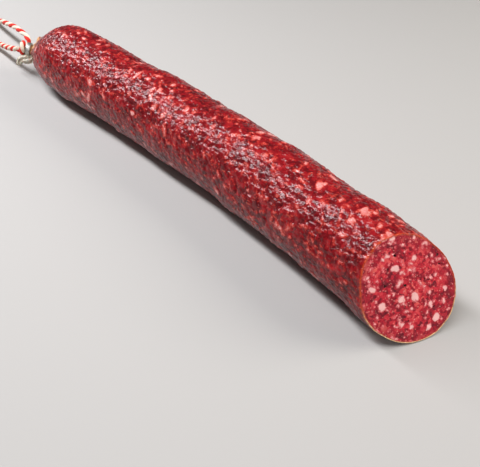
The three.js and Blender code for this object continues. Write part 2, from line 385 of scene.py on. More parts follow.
# %% [markdown]
# Random numbers that stay the same
#
# Meat and casing are uneven everywhere, but a lesson should give the same sausage each time it is
# run. So nothing is drawn from a random generator: each cell of a grid in space gets its number
# from a hash of its own whole coordinates. Two fields are built on that, soft hills and scattered
# centres, and because they live in space and not on a surface, the fat that shows through the
# casing carries on across the cut.

# %% A number for each cell, and soft hills
# Large odd numbers that spread the bits of a whole number when they multiply it
SPREAD_CELL = [np.uint64(73856093), np.uint64(19349663), np.uint64(83492791)]
SPREAD_SALT = 97531
SPREAD_AGAIN = [(np.uint64(13), np.uint64(1274126177)), (np.uint64(15), np.uint64(2246822519))]
LOW_BITS = np.uint64(0xFFFFFFFF)


def hashed(cells, salt):
    """A number from 0 to 1 for each cell of three whole numbers: the numbers are multiplied and
    joined bit by bit, then shifted over themselves and multiplied again, twice."""
    bits = cells.astype(np.int64).astype(np.uint64)
    mixed = np.uint64(salt * SPREAD_SALT)
    for axis, spread in enumerate(SPREAD_CELL):
        mixed = mixed ^ bits[..., axis] * spread
    for shift, spread in SPREAD_AGAIN:
        mixed = (mixed ^ (mixed >> shift)) * spread & LOW_BITS
    return (mixed >> np.uint64(8)) / 0xFFFFFF


def hills(points, size, salt):
    """Soft random hills from -1 to 1, about size mm across. The eight corners of a point's cell
    have a number each, and S-curves of its place in the cell weigh them."""
    spots = points / size
    cell = np.floor(spots).astype(np.int64)
    part = spots - cell
    part = part * part * (3 - 2 * part)
    total = np.zeros(points.shape[:-1])
    for corner in itertools.product((0, 1), repeat=3):
        weight = np.prod(np.where(corner, part, 1 - part), -1)
        total = total + weight * hashed(cell + corner, salt)
    return 2 * total - 1


def warped(points, size, reach, salt):
    """The points, each pushed up to reach mm in each direction by hills of that size."""
    pushes = [hills(points, size, salt + axis) for axis in range(3)]
    return points + reach * np.stack(pushes, -1)


print("a few hashed numbers:", hashed(np.arange(9).reshape(3, 3), 1).round(3))

# %% [markdown]
# Fat and creases as fields
#
# The mince is lean meat with diced back fat in it, pieces of 2 to 5 mm that the filling has turned
# to lie along the skin, and shreds of half that. A field says how deep a point lies in the nearest
# piece, so its zero line is the piece's outline wherever a surface passes through it. The dried
# casing is covered with small pillows between fine creases. That pattern is the distance to the
# nearest of many scattered centres, compared with the distance to the second nearest.

# %% Pieces of fat
# Size of a cell in mm, smallest and largest radius of a piece, the share of cells that hold one,
# the longest piece as a multiple of its breadth, and the salt of its random numbers
LARGE_FAT = {"cell": 7.0, "radii": (0.9, 2.5), "share": 0.8, "stretch": 2.2, "salt": 11}
SMALL_FAT = {"cell": 3.1, "radii": (0.35, 1.1), "share": 0.85, "stretch": 2.4, "salt": 57}
BLOCK_POWER = 2.6
SMALLER_OFTEN = 1.6
CELL_MARGIN = 0.12


def fat_depth(points, cell, radii, share, stretch, salt):
    """How deep each point lies in the nearest piece of fat, in mm, and below zero outside one.
    A piece is a rounded block, the 2.6 power of its length and breadth added up, and it lies
    across the way to the body's middle line. Soft hills make its outline ragged."""
    warp = warped(points, 0.3 * cell, 0.15 * cell, salt + 20)
    home = np.floor(warp / cell).astype(np.int64)
    deepest = np.full(points.shape[:-1], -float(cell))
    for step in itertools.product((-1, 0, 1), repeat=3):
        there = home + step
        draw = [hashed(there, salt + number) for number in range(9)]
        spot = mix(CELL_MARGIN, 1 - CELL_MARGIN, np.stack(draw[:3], -1))
        centre = (there + spot) * cell
        lie = np.stack(draw[3:6], -1) - 0.5
        outward = unit((centre - centre_line(centre[..., 0])) * (0, 1, 1) + 1e-6)
        lie = unit(lie - np.sum(lie * outward, -1, keepdims=True) * outward + 1e-6)
        radius = mix(*radii, draw[6] ** SMALLER_OFTEN)
        length = radius * mix(1, stretch, draw[7])
        away = warp - centre
        along = np.abs(np.sum(away * lie, -1))
        across = np.sqrt(np.maximum(np.sum(away * away, -1) - along**2, 0))
        far = (along / length) ** BLOCK_POWER + (across / radius) ** BLOCK_POWER
        far = far ** (1 / BLOCK_POWER)
        depth = np.where(draw[8] < share, (1 - far) * radius, -cell)
        deepest = np.maximum(deepest, depth)
    return deepest


print("large fat pieces are up to", 2 * LARGE_FAT["radii"][1], "mm across")


# %% Pillows between creases
def pillows(points, cell, salt):
    """1 on the pillows of a creased skin and 0 in its creases. The distances to the nearest and
    the second nearest centre differ by d, and the height is 1 - exp(-(3 * d / cell)^2)."""
    home = np.floor(points / cell).astype(np.int64)
    nearest = np.full(points.shape[:-1], 9.0 * cell)
    second = nearest.copy()
    for step in itertools.product((-1, 0, 1), repeat=3):
        there = home + step
        centre = (there + np.stack([hashed(there, salt + axis) for axis in range(3)], -1)) * cell
        far = np.linalg.norm(points - centre, axis=-1)
        second = np.minimum(second, np.maximum(nearest, far))
        nearest = np.minimum(nearest, far)
    return 1 - np.exp(-((3 * (second - nearest) / cell) ** 2))


some_spots = np.linspace(0, 20, 300).reshape(100, 3)
print("pillows are", pillows(some_spots, 3.6, 300).mean().round(2), "high on average")

# %% [markdown]
# Casing: the form
#
# Under the casing the meat fills a round section that runs out into the gathered neck. The radius
# along the taper is a blunt bullet, and the fourth-power sum of bullet and neck joins the two
# without a corner. Slow waves and eleven pleats make it uneven, and a thick fold of casing stands
# beside the neck. Sculpting could give all this too, but formulas put each form where it is wanted.
# They follow the solid's on a finer grid. Only the fold is a little thicker here, and the dome
# beside the clip stands 2 mm fuller, as on the real sausage.

# %% Measures of the filled casing
TAPER_RISE = 2.11
TAPER_ROUND = 1.2
SHOULDER_SWELL = 0.039
SHOULDER_AT = 32.0
NECK_RADIUS = 7.0
CLIPPED_RADIUS = 3.9
STUB_RADIUS = 1.3
STUB_FROM = -11.33
CLIP_WIDTH = 4.0
PLEAT_COUNT = 11
PLEAT_DEPTH = 0.1
PLEAT_REACH = 15.0
PLEAT_TURN = 9.0
# The big fold in two parts, the shoulder and the dome beside the clip: place, length and height
# in mm, angle round the body and width in radians
HUMPS = [
    (-4.9, 3.0, 6.4, 1.55, 0.5),
    (-6.4, 1.6, 2.6, 1.6, 0.5),
    (30.0, 14.0, 1.8, 1.0, 0.6),
    (2.0, 6.0, 2.0, 2.6, 0.9),
]
# Waves of the stuffed casing: height in mm, wavelength in mm, turns round the body, phase
WAVES = [(0.42, 96, 2, 0.4), (0.30, 61, 1, 2.1), (0.24, 38, 3, 4.4), (0.16, 23, 2, 1.3)]
print("waves add up to", round(sum(wave[0] for wave in WAVES), 2), "mm at most")


# %% The filled casing without its fine relief
def casing_radius(x):
    """Radius of the filled casing at x. With t the share of the taper, the bullet's radius is
    (1 - (1 - t)^2.11)^(1/1.2) of the body's, and bullet and neck join as (bullet^4 + neck^4)^(1/4).
    A bell curve swells the shoulder."""
    taper = np.clip((x - TIP_AT) / TAPER_LENGTH, 0, 1)
    bullet = CASING_RADIUS * (1 - (1 - taper) ** TAPER_RISE) ** (1 / TAPER_ROUND)
    gathered = mix(CLIPPED_RADIUS, NECK_RADIUS, smooth(x, CLIP_AT + 1.7, CLIP_AT + 6.2))
    neck = mix(STUB_RADIUS, gathered, smooth(x, STUB_FROM - 0.6, STUB_FROM))
    swell = 1 + SHOULDER_SWELL * np.exp(-(((x - SHOULDER_AT) / CASING_RADIUS) ** 2))
    return (bullet**4 + neck**4) ** 0.25 * swell


def ring_points(x, angle, radius):
    """Points round the middle line at x, at an angle from sideways towards up."""
    _, sideways, up = neck_axes(x + 0 * angle)
    across = np.cos(angle)[..., None] * sideways + np.sin(angle)[..., None] * up
    return centre_line(x + 0 * angle) + radius[..., None] * across


def casing_form(x, angle):
    """Points of the casing: a circle round the middle line, with cosine waves along it, cosine
    pleats round the neck, and bell-shaped humps."""
    waves = 0
    for size, wave, turns, phase in WAVES:
        waves = waves + size * np.cos(2 * np.pi * x / wave + turns * angle + phase)
    beyond_clip = smooth(x, CLIP_AT + 2, CLIP_AT + 6.2)
    pleating = beyond_clip * np.exp(-np.maximum(0, x - TIP_AT) / PLEAT_REACH)
    pleats = PLEAT_DEPTH * casing_radius(x) * pleating * np.cos(PLEAT_COUNT * angle + x / PLEAT_TURN)
    raised = 0
    for at, length, height, turned, width in HUMPS:
        off = np.arctan2(np.sin(angle - turned), np.cos(angle - turned)) / width
        raised = raised + height * np.exp(-(((x - at) / length) ** 2) - off**2)
    radius = casing_radius(x) + waves * smooth(x, TIP_AT - 6, TIP_AT + TAPER_LENGTH)
    return ring_points(x, angle, radius + pleats + raised * beyond_clip)


print("radius at the shoulder in mm:", casing_radius(SHOULDER_AT).round(1))

# %% [markdown]
# Casing: the slanted cut
#
# The knife went through on a slant, so the last ring of points has to lie on that slanted plane.
# If only the last ring leaned, the grid would be torn out of shape beside it. So the rings start
# to lean three radii before the cut and lean more and more towards it. A boolean cut would be
# quicker to ask for, but it leaves long thin faces at the rim, which show in a glossy skin.

# %% Rings that lean over towards the cut
CUT_NORMAL = unit([0.796, -0.340, 0.501])
SLANT_REACH = 3.2 * CASING_RADIUS
LEAN_PASSES = 3
STUB_END = -14.6
AROUND = 208
FINE_STEP = 0.3
BODY_STEP = 0.91
FINE_UNTIL = 2.0


def slant_offset(points):
    """How far the slanted plane lies from the upright one at the cut, along x."""
    off = points - centre_line(CUT_AT)
    return -(CUT_NORMAL[1] * off[..., 1] + CUT_NORMAL[2] * off[..., 2]) / CUT_NORMAL[0]


def even_steps(start, end, step):
    """Places from start towards end, a whole number of steps near the given one, without the end."""
    return np.linspace(start, end, round((end - start) / step), endpoint=False)


ring_x = np.concatenate(
    [
        even_steps(STUB_END, FINE_UNTIL, FINE_STEP),
        even_steps(FINE_UNTIL, CUT_AT, BODY_STEP),
        [CUT_AT],
    ]
)[:, None]
ring_angle = np.linspace(0, 2 * np.pi, AROUND, endpoint=False)[None, :]
lean = smooth(ring_x, CUT_AT - SLANT_REACH, CUT_AT)
ring_place = ring_x + 0 * ring_angle
for _ in range(LEAN_PASSES):
    ring_place = ring_x + lean * slant_offset(casing_form(ring_place, ring_angle))
casing_grid = casing_form(ring_place, ring_angle)
print("the casing has", casing_grid.shape[0], "rings of", AROUND, "points")

# %% [markdown]
# Casing: crinkles, lumps and fat
#
# As the meat dries and shrinks, the casing follows it and creases into pillows three or four
# millimetres wide, while diced fat keeps its size and stands a little proud. Both are true relief
# in the mesh, because they break up the outline as well as the gleam. Sharper creases, which would
# take many more faces, are left to the material's bump. Dry pleats run from the neck into the
# taper, and the relief gets lower towards the cut, so that its rim is even.

# %% Where each kind of relief goes
# Ways along the body, in mm, over which each change takes place, and heights above the table
ACROSS_ONLY = (2, 40)
ON_BODY = (-5, 22)
NECK_ENDS = (4, 34)
OFF_CLIP = (CLIP_AT + 1.8, CLIP_AT + 3.6)
OFF_STUB = (STUB_FROM - 0.8, STUB_FROM - 0.2)
NEAR_CUT = (364, 372)
OFF_TABLE = (0.3, 3.0)
RELIEF_ON_NECK = 0.35
LOWER_AT_CUT = 0.6

outward = unit(casing_grid - centre_line(ring_place + 0 * ring_angle))
lengthways = smooth(ring_place, *ACROSS_ONLY)[..., None] * (1, 0, 0)
outward = unit(outward - lengthways * outward)
off_clip = smooth(ring_place, *OFF_CLIP)
on_neck = off_clip * (1 - smooth(ring_place, *NECK_ENDS))
on_stub = 1 - smooth(ring_place, *OFF_STUB)
off_table = smooth(casing_grid[..., 2], *OFF_TABLE)
share_of_relief = mix(RELIEF_ON_NECK, 1, smooth(ring_place, *ON_BODY)) * off_clip
share_of_relief = share_of_relief * (1 - LOWER_AT_CUT * smooth(ring_place, *NEAR_CUT))
print("relief is full on", (100 * (share_of_relief > 0.99).mean()).round(), "percent of the casing")

# %% Add the fine relief
PILLOW_SIZE = 3.6
PILLOW_HEIGHT = 0.4
PILLOWS_NARROWED = (1.0, 1.25, 1.25)
LUMP_SIZE = 6.5
LUMP_HEIGHT = 0.4
FAT_HEIGHT = 0.22
FINE_PLEATS = 27
FINE_PLEAT_HEIGHT = 0.22
FINE_PLEAT_TURN = 5
STUB_CRUMPLE = 0.28
STUB_FOLDS = 5

creased = pillows(warped(casing_grid * PILLOWS_NARROWED, 5.0, 1.3, 200), PILLOW_SIZE, 300)
fat = np.maximum(fat_depth(casing_grid, **LARGE_FAT), fat_depth(casing_grid, **SMALL_FAT))
relief = PILLOW_HEIGHT * creased + LUMP_HEIGHT * hills(casing_grid, LUMP_SIZE, 400)
relief = (relief + FAT_HEIGHT * smooth(fat, -0.5, 0.5)) * share_of_relief
pleated = np.cos(FINE_PLEATS * ring_angle + ring_place / FINE_PLEAT_TURN)
relief = relief + FINE_PLEAT_HEIGHT * on_neck * pleated
relief = relief + STUB_CRUMPLE * on_stub * np.cos(STUB_FOLDS * ring_angle + ring_place)
casing_grid = casing_grid + (relief * off_table)[..., None] * outward
casing_grid[..., 2] = np.maximum(casing_grid[..., 2], 0)
casing_grid[-1, :, 0] = CUT_AT + slant_offset(casing_grid[-1])
print("relief from", relief.min().round(2), "to", relief.max().round(2), "mm")

# %% [markdown]
# Casing: the edge at the cut
#
# The knife leaves the casing's own thickness showing as a thin rim round the meat, slightly raised
# where it was pulled. After the last ring the grid turns over this rim and goes a little way back
# inside, where the cut meat sits like a lid. That closes the casing behind the meat.

# %% Turn the casing's edge in
# Rings of the rim: how far each lies inward from the edge and how far it stands off the cut, in mm
RIM = [(0.1, 0.16), (0.36, 0.2), (0.6, 0.04), (0.7, -0.5), (0.8, -1.6)]
OUTER_RIM = 3
RIM_BEADS = 0.09
BEAD_SIZE = 1.7


def cut_ring(inward, height):
    """The outline of the cut, moved inward in its own plane and raised off it, both in mm."""
    edge = casing_grid[-1]
    towards = unit(centre_line(CUT_AT) - edge)
    towards = unit(towards - np.sum(towards * CUT_NORMAL, -1, keepdims=True) * CUT_NORMAL)
    return edge + inward * towards + height * CUT_NORMAL


beads = RIM_BEADS * hills(casing_grid[-1], BEAD_SIZE, 500)
rim_rings = np.stack([cut_ring(inward, height) for inward, height in RIM])
rim_rings[:OUTER_RIM] += beads[:, None] * CUT_NORMAL
casing_whole = np.concatenate([casing_grid, rim_rings])
print("the rim stands up to", max(height for _, height in RIM), "mm off the cut")

# %% [markdown]
# Casing: what shows where
#
# The finish has to know what lies behind the skin. Bare casing with no meat behind it dries to a
# tan colour: in a collar beside the clip, in a patch over the fold, and faintly all over the neck.
# The cut edge has a colour of its own too. These shares could be painted by hand, but as formulas
# they fit any grid. Each is stored as a field of the mesh, beside the depth of the fat.

# %% Mark the bare skin and the rim, and make the piece
COLLAR_ENDS = (-9.0, -7.2)
NECK_BARE = 0.4
NECK_BARE_ENDS = (-5, 8)
# The patch over the fold: place and length in mm, angle round the body and width in radians
PATCH_AT = 1.0
PATCH_LENGTH = 10.0
PATCH_ANGLE = 2.0
PATCH_WIDTH = 0.5
PATCH_OUTLINE = (0.2, 0.45)
RIM_WIDTH = 1.2


def with_rim(values, at_rim):
    """A field of the casing's grid with one value more for the rings of the rim."""
    return np.concatenate([values, np.full((len(RIM), AROUND), float(at_rim))])


patch_along = (ring_place + 2 * hills(casing_grid, 3.0, 610) - PATCH_AT) / PATCH_LENGTH
patch = np.exp(-(patch_along**2) - ((ring_angle - PATCH_ANGLE) / PATCH_WIDTH) ** 2)
collar = 1 - smooth(ring_place + 0.6 * hills(casing_grid, 4.0, 600), *COLLAR_ENDS)
bare = 1 - smooth(ring_place + 4 * hills(casing_grid, 2.5, 620), *NECK_BARE_ENDS)
dry = np.maximum(np.maximum(collar, smooth(patch, *PATCH_OUTLINE)), NECK_BARE * bare)
rim = smooth(ring_x + 0 * ring_angle, CUT_AT - RIM_WIDTH, CUT_AT)
fields = {"fat": with_rim(fat, -2), "dry": with_rim(dry, 0), "rim": with_rim(rim, 1)}
casing = closed_piece("casing_skin", casing_whole, fields)
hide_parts("sausage")

# %% [markdown]
# Cut meat
#
# The cut shows the same mince from inside. It is a thin lid that fits into the rim: a front face
# that follows the slanted plane, a short side wall and a flat back. Its front is not quite even:
# fat stands up a trace, the knife has smeared the lean meat into shallow ripples, and there are
# some tiny air holes. A flat disc with a bump would look alike from the front, but not from low
# down, where the holes and the fat have to catch the light as real dents and rises.

# %% The lid's outline
CUT_AROUND = 420
LID_INWARD = 0.5


def lid_outline():
    """The rim's inner outline with CUT_AROUND points, filled in between by their place round it."""
    edge = cut_ring(LID_INWARD, 0)
    edge = np.vstack([edge, edge[:1]])
    places = np.linspace(0, AROUND, CUT_AROUND, endpoint=False)
    return np.stack([np.interp(places, np.arange(AROUND + 1), edge[:, axis]) for axis in range(3)], -1)


lid_edge = lid_outline()
lid_middle = lid_edge.mean(0)
print("the middle of the cut is at", lid_middle.round(1), "mm")

# %% The lid's uneven front
CUT_RINGS = 96
SMALLEST_RING = 0.012
LID_FRONT = 0.04
AIR_HOLES = {"cell": 3.1, "radii": (0.25, 0.7), "share": 0.5, "stretch": 1.3, "salt": 700}
HOLE_DEPTH = 0.7
FAT_STANDS = 0.09
RIPPLE_SIZE = 2.2
RIPPLE_HEIGHT = 0.13

lid_share = np.linspace(1, SMALLEST_RING, CUT_RINGS)[:, None, None]
front_flat = lid_middle + lid_share * (lid_edge - lid_middle)
cut_fat = np.maximum(fat_depth(front_flat, **LARGE_FAT), fat_depth(front_flat, **SMALL_FAT))
hole = np.where(cut_fat > 0, -1, fat_depth(front_flat, **AIR_HOLES))
ripples = hills(front_flat, RIPPLE_SIZE, 800) + 0.5 * hills(front_flat, RIPPLE_SIZE / 2, 810)
rise = LID_FRONT + RIPPLE_HEIGHT * ripples * smooth(1 - lid_share[..., 0], 0, 0.05)
rise = rise + FAT_STANDS * smooth(cut_fat, -0.2, 0.3) - HOLE_DEPTH * smooth(hole, -0.05, 0.25)
front = front_flat + rise[..., None] * CUT_NORMAL
print("fat covers", (100 * (cut_fat > 0).mean()).round(), "percent of the front's points")

# %% Close the lid with a back
BACK_SHARES = [0.02, 0.5, 0.9, 1.0]
LID_BACK = -1.3


def with_back(values):
    """A field of the lid's front with zeros for the rings of its back."""
    return np.concatenate([np.zeros((len(BACK_SHARES), CUT_AROUND)), values])


back_share = np.array(BACK_SHARES)[:, None, None]
back = lid_middle + back_share * (lid_edge - lid_middle) + LID_BACK * CUT_NORMAL
from_rim = np.linalg.norm(front_flat - lid_edge, axis=-1)
fields = {"fat": with_back(cut_fat), "hole": with_back(hole), "from_rim": with_back(from_rim)}
cut_meat = closed_piece("cut_meat", np.concatenate([back, front]), fields)
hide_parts("sausage")

# %% [markdown]
# Clip
#
# The clip is a soft aluminium wire with rounded edges, bent round the gathered casing and pressed
# until its two ends meet underneath. It is a section carried round the neck: a flat oval that
# follows a circle over the top, then both ends turn outwards side by side and get narrower. A
# curve with a bevel could do the same, but not with ends that narrow and dents from the pliers.

# %% Make the clip's band
CLIP_MIDDLE_RADIUS = 5.05
CLIP_THICKNESS = 1.7
CLIP_PLAY = 0.1
CLIP_LEG = 1.9
LEG_FROM = 0.86
LEG_NARROWED = 0.55
CLIP_SECTION = 40
CLIP_STEPS = 150
CLIP_UNDERSIDE = math.radians(-60)
CLIP_GAP = 0.23
# Powers that make the section's sides flat and its corners round, and the two ends blunt
FLAT_ACROSS = 0.55
FLAT_THROUGH = 0.75
BLUNT_POWER = 60
DENT_SIZE = 2.4
DENT_HEIGHT = 0.1


def clip_band():
    """The band as rings along its way. The angle runs once round from one leg to the other. Near
    each end the radius grows by the leg's length times the power 1.5 of the way into the leg. The
    section is an oval whose cosine and sine are raised to powers below 1."""
    way = np.linspace(0, 1, CLIP_STEPS)
    from_top = np.abs(2 * way - 1)
    angle = CLIP_UNDERSIDE + mix(CLIP_GAP, 2 * np.pi - CLIP_GAP, smooth(way, -0.12, 1.12))
    leg = np.maximum(0, from_top - LEG_FROM) / (1 - LEG_FROM)
    blunt = np.sqrt(np.clip(1 - from_top**BLUNT_POWER, 0.02, 1))[:, None]
    radius = CLIP_MIDDLE_RADIUS + CLIP_LEG * leg**1.5
    along, sideways, up = neck_axes(CLIP_AT)
    spoke = np.cos(angle)[:, None] * sideways + np.sin(angle)[:, None] * up
    middle = centre_line(CLIP_AT) + radius[:, None] * spoke
    heading = unit(np.gradient(middle, axis=0))
    outward_way = np.cross(along, heading)
    outward_way = unit(outward_way * np.sign(np.sum(outward_way * spoke, 1, keepdims=True)))
    a = np.linspace(0, 2 * np.pi, CLIP_SECTION, endpoint=False)
    wide = np.sign(np.cos(a)) * np.abs(np.cos(a)) ** FLAT_ACROSS
    thick = np.sign(np.sin(a)) * np.abs(np.sin(a)) ** FLAT_THROUGH
    width = (CLIP_WIDTH - CLIP_PLAY) / 2 * mix(1, LEG_NARROWED, leg)[:, None] * blunt
    grid = middle[:, None] + (width * wide)[..., None] * along
    grid = grid + (CLIP_THICKNESS / 2 * blunt * thick)[..., None] * outward_way[:, None]
    dents = DENT_HEIGHT * hills(grid, DENT_SIZE, 900)
    return grid + dents[..., None] * outward_way[:, None]


clip = closed_piece("clip_band", clip_band())
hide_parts("clip")

# %% [markdown]
# Casing tail
#
# A torn strip of the casing comes out in front of the clip, folds back under it and hangs down
# with a hooked end. It is twisted and crumpled. A ribbon of cloth could be simulated, but the
# strip is stiff and keeps its hook, so a flat section is carried along a short path, with folds
# along it and crumples all over.

# %% Make the casing tail
# Points of the strip's middle line, in mm from the tied end of the meat
TAIL_ROUTE = [
    [-7.1, -0.1, 17.7], [-5.9, -2.0, 16.4], [-4.6, -4.1, 15.3], [-5.2, -6.7, 15.4],
    [-7.2, -8.6, 15.9], [-8.9, -10.3, 15.4], [-10.0, -12.1, 13.9], [-10.5, -13.1, 12.4],
    [-10.2, -13.0, 10.9],
]
TAIL_STEPS = 110
TAIL_AROUND = 48
TAIL_WIDTHS = (4.6, 7.6, 4.6)
TAIL_THICKNESS = 1.9
TAIL_FACING = (0.68, -0.52, 0.52)
TAIL_CURVE_DEGREE = 5
TAIL_FOLD = 0.6
TAIL_FOLD_COUNT = 6.6
TAIL_FOLD_TURN = 5
TAIL_CRUMPLE = 0.55
CRUMPLE_SIZE = 1.6


def tail_strip():
    """Rings along a polynomial fitted through the tail's route. The section is a flat oval whose
    width opens from its root and closes to its tip, bent by cosine folds that run along it and by
    soft hills."""
    points = np.array(TAIL_ROUTE)
    reach = np.append(0, np.cumsum(np.linalg.norm(np.diff(points, axis=0), axis=1)))
    fit = np.polyfit(reach / reach[-1], points, TAIL_CURVE_DEGREE)
    share = np.linspace(0, 1, TAIL_STEPS)
    middle = np.stack([np.polyval(fit[:, axis], share) for axis in range(3)], -1)
    heading = unit(np.gradient(middle, axis=0))
    flat = unit(np.array(TAIL_FACING) - (heading @ TAIL_FACING)[:, None] * heading)
    broad = np.cross(heading, flat)
    at_root, at_middle, at_tip = TAIL_WIDTHS
    opened = mix(at_root, at_middle, smooth(share, 0.1, 0.4))
    width = mix(opened, at_tip, smooth(share, 0.5, 1)) / 2
    ends = np.sqrt(np.clip(1 - np.abs(2 * share - 1) ** 24, 0.03, 1))
    a = np.linspace(0, 2 * np.pi, TAIL_AROUND, endpoint=False)
    grid = middle[:, None] + (TAIL_THICKNESS / 2 * ends[:, None] * np.cos(a))[..., None] * flat[:, None]
    grid = grid + ((width * ends)[:, None] * np.sin(a))[..., None] * broad[:, None]
    fold = TAIL_FOLD * np.cos(TAIL_FOLD_COUNT * np.sin(a) + TAIL_FOLD_TURN * share[:, None])
    crumple = TAIL_CRUMPLE * hills(grid, CRUMPLE_SIZE, 950)
    lifted = (fold + crumple) * smooth(share, 0.05, 0.3)[:, None]
    return grid + lifted[..., None] * flat[:, None]


tail = closed_piece("casing_tail", tail_strip())
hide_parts("sausage")

# %% [markdown]
# Finishes made of nodes
#
# A finish is a material whose colour and bump are worked out from place and from the fields that
# the meshes carry. Pictures wrapped round the pieces would do too, but they have seams and one
# sharpness only. The helpers below save writing: each adds one kind of node and joins it up.

# %% Add a node and feed it
def rgb(digits):
    """A colour written as six hexadecimal digits, as the linear numbers that shaders work with."""
    shares = np.array([int(digits[start : start + 2], 16) / 255 for start in (0, 2, 4)])
    linear = np.where(shares <= 0.04045, shares / 12.92, ((shares + 0.055) / 1.055) ** 2.4)
    return (*linear.tolist(), 1.0)


def feed(tree, socket, value):
    """Links a node's result to a socket, or sets the socket to a plain value."""
    if isinstance(value, bpy.types.NodeSocket):
        tree.links.new(value, socket)
    else:
        socket.default_value = value


def add(tree, kind, inputs=None, **settings):
    """Adds one shader node, makes its settings, and feeds each of the named inputs."""
    node = tree.nodes.new("ShaderNode" + kind)
    for setting, value in settings.items():
        setattr(node, setting, value)
    for socket, value in (inputs or {}).items():
        feed(tree, node.inputs[socket], value)
    return node


print("a middle grey in linear numbers:", np.round(rgb("808080"), 3))


# %% Sums, steps and mixes of colour
def calc(tree, operation, first, second):
    """A Math node's result."""
    return add(tree, "Math", {0: first, 1: second}, operation=operation).outputs[0]


def scaled(tree, value, size, start=0.0):
    """Start plus size times the value."""
    return add(tree, "Math", {0: value, 1: size, 2: start}, operation="MULTIPLY_ADD").outputs[0]


def rising(tree, value, low, high):
    """The S-shaped step from 0 to 1 between low and high."""
    inputs = {"Value": value, "From Min": low, "From Max": high}
    return add(tree, "MapRange", inputs, interpolation_type="SMOOTHSTEP").outputs[0]


def blend(tree, share, first, second):
    """Colour first where the share is 0 and second where it is 1."""
    return add(tree, "Mix", {0: share, 6: first, 7: second}, data_type="RGBA").outputs[2]


def colours(tree, value, stops):
    """A colour ramp over (place, colour) stops."""
    node = add(tree, "ValToRGB", {"Fac": value})
    ramp = node.color_ramp
    while len(ramp.elements) < len(stops):
        ramp.elements.new(0.5)
    for element, (spot, digits) in zip(ramp.elements, stops):
        element.position = spot
        element.color = rgb(digits)
    return node.outputs[0]


print("at a quarter of its way an S-shaped step has come to", smooth(0.25, 0, 1))

# %% [markdown]
# Patterns by place
#
# Places are read as Object coordinates and turned to millimetres, so that a scale of 0.5 in a
# texture means cells of two millimetres. Such a pattern sits in space as the fat does, and needs no
# map of the surface. What follows the surface comes from the mesh's own fields instead.

# %% Places, fields and noise
def millimetres(tree, scale=(1.0, 1.0, 1.0)):
    """Object coordinates in millimetres, stretched by a scale for each direction."""
    coordinates = add(tree, "TexCoord").outputs["Object"]
    size = tuple(axis / MM for axis in scale)
    return add(tree, "Mapping", {"Vector": coordinates, "Scale": size}).outputs[0]


def field(tree, name):
    """A number field that the mesh carries."""
    return add(tree, "Attribute", attribute_name=name).outputs["Fac"]


def grain(tree, spots, scale, detail=3.0, roughness=0.55):
    """Cloudy noise from 0 to 1, with hills about 1/scale mm across."""
    inputs = {"Vector": spots, "Scale": scale, "Detail": detail, "Roughness": roughness}
    return add(tree, "TexNoise", inputs).outputs["Fac"]


def wandering(tree, spots, scale, reach):
    """The spots, each moved up to half the reach in mm each way by soft noise."""
    noise = add(tree, "TexNoise", {"Vector": spots, "Scale": scale, "Detail": 2.0}).outputs["Color"]
    way = add(tree, "VectorMath", {0: noise, 1: (0.5, 0.5, 0.5)}, operation="SUBTRACT").outputs[0]
    push = add(tree, "VectorMath", {0: way, "Scale": reach}, operation="SCALE").outputs[0]
    return add(tree, "VectorMath", {0: spots, 1: push}, operation="ADD").outputs[0]


print("a scale of 0.5 gives cells of", 1 / 0.5, "mm")


# %% Specks, puckers and mince
def specks(tree, spots, size, chance):
    """Small round specks: the inside of a cell's own circle, in those cells whose draw is low."""
    cells = add(tree, "TexVoronoi", {"Vector": spots, "Scale": 1 / size})
    draw = add(tree, "SeparateColor", {0: cells.outputs["Color"]}).outputs[1]
    reach = calc(tree, "MULTIPLY", draw, 0.36 / chance)
    inside = calc(tree, "SUBTRACT", calc(tree, "SUBTRACT", 0.4, reach), cells.outputs["Distance"])
    return rising(tree, inside, 0.0, 0.12)


def puckers(tree, spots, size):
    """The height of small pillows, 1 - d * d where d is the way to the nearest cell's centre: one
    dome to each cell, with a crease where two cells meet."""
    away = add(tree, "TexVoronoi", {"Vector": spots, "Scale": 1 / size}).outputs["Distance"]
    return calc(tree, "SUBTRACT", 1.0, calc(tree, "MULTIPLY", away, away))


def mince_colour(tree, spots, stops, grain_size):
    """Clouds of colour broken into grains: each grain of the mince has a tone of its own. Returns
    the colour and the spots, moved as the grains are."""
    cloudy = grain(tree, spots, 0.11, 5.0, 0.62)
    moved = wandering(tree, spots, 0.3, 1.6)
    cells = add(tree, "TexVoronoi", {"Vector": moved, "Scale": 1 / grain_size}).outputs["Color"]
    tone = add(tree, "SeparateColor", {0: cells}).outputs[0]
    mixed = scaled(tree, tone, 0.34, calc(tree, "SUBTRACT", cloudy, 0.17))
    return colours(tree, mixed, stops), moved


print("half a cell from its middle a pucker has come down to", 1 - 0.5**2)

# %% [markdown]
# A material and its bump
#
# All finishes start from the same shader. Numbers that hold all over a piece are set on it once,
# and only what changes from place to place is worked out by nodes. The height of fine relief goes
# into a bump, which bends the light without adding faces.

# %% Helpers for the shader
def new_finish(name, numbers):
    """A new material, and the numbers that are the same all over its shader."""
    material = bpy.data.materials.new(name)
    material.use_nodes = True
    shader = material.node_tree.nodes["Principled BSDF"]
    for socket, value in numbers.items():
        shader.inputs[socket].default_value = value
    return material, material.node_tree, shader


def cover(tree, shader, colour, roughness=None):
    """Feeds the shader its colour, and its roughness where that changes from place to place."""
    feed(tree, shader.inputs["Base Color"], colour)
    if roughness:
        feed(tree, shader.inputs["Roughness"], roughness)


def emboss(tree, height, distance_mm, shader):
    """A bump from a height field, as deep as the distance for each 1 of height. The coat takes it
    too, or it would gleam like a smooth skin over the creases."""
    inputs = {"Height": height, "Distance": distance_mm * MM, "Strength": 1.0}
    bumped = add(tree, "Bump", inputs).outputs[0]
    for socket in ("Normal", "Coat Normal"):
        feed(tree, shader.inputs[socket], bumped)


